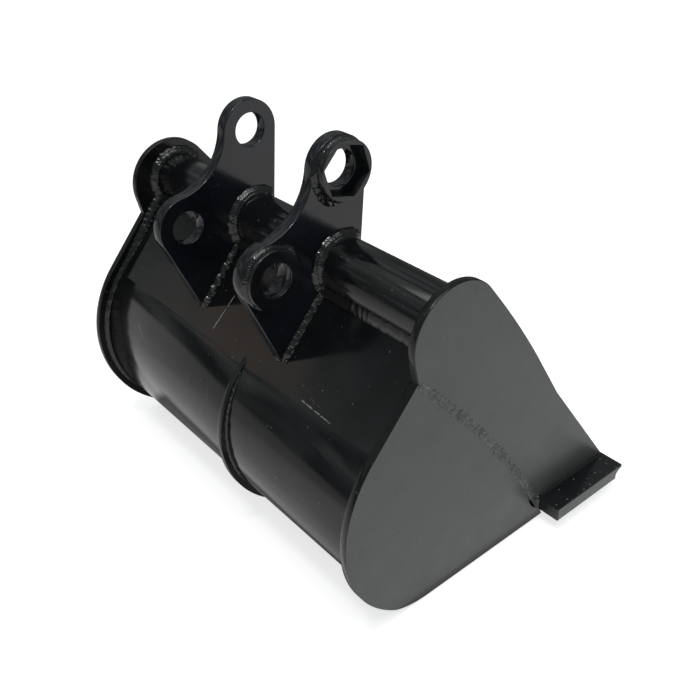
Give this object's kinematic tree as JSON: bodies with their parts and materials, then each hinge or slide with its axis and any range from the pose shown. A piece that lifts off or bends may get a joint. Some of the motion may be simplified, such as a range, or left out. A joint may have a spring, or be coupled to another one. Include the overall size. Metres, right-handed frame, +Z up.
{
  "type": "excavator bucket",
  "caption": "Narrow welded digging bucket with twin pin ears, torque tube, curved back shell and a straight cutting edge, painted gloss black.",
  "frame": {"origin": "centre of the bounding box at the bottom edge of the side plates", "axes": "+X across the bucket to its right seen from behind, +Y forwards to the cutting edge, +Z up to the pin ears"},
  "size_m": [0.391, 0.2755, 0.3145],
  "materials": {
    "plate_paint": "semi-gloss black paint on sheared plate",
    "shell_paint": "gloss black paint on rolled plate",
    "tube_paint": "gloss black paint on pipe",
    "ear_paint": "gloss black paint on flame-cut plate",
    "boss_paint": "gloss black paint on machined ring",
    "edge_paint": "gloss black paint on wear-resistant bar",
    "weld_paint": "gloss black paint over rippled weld bead"
  },
  "bodies": {
    "root": {"side_front_right": "plate_paint", "side_front_left": "plate_paint", "side_heel_right": "plate_paint", "side_heel_left": "plate_paint", "torque_tube": "tube_paint", "back_shell": "shell_paint", "cutting_edge": "edge_paint", "ear_right": "ear_paint", "ear_left": "ear_paint", "hex_boss": "boss_paint", "pin_boss": "boss_paint", "heel_rib": "shell_paint", "weld_seam_right": "weld_paint", "weld_seam_left": "weld_paint", "weld_tube_shell": "weld_paint", "weld_tube_end_right": "weld_paint", "weld_tube_end_left": "weld_paint", "weld_rim_right": "weld_paint", "weld_rim_left": "weld_paint", "weld_ear_right": "weld_paint", "weld_ear_left": "weld_paint", "weld_hex_boss": "weld_paint", "weld_pin_boss": "weld_paint", "weld_heel_rib": "weld_paint", "weld_edge_right": "weld_paint", "weld_edge_left": "weld_paint", "weld_edge_shell": "weld_paint", "weld_toe_right": "weld_paint", "weld_toe_left": "weld_paint"}
  },
  "joints": []
}
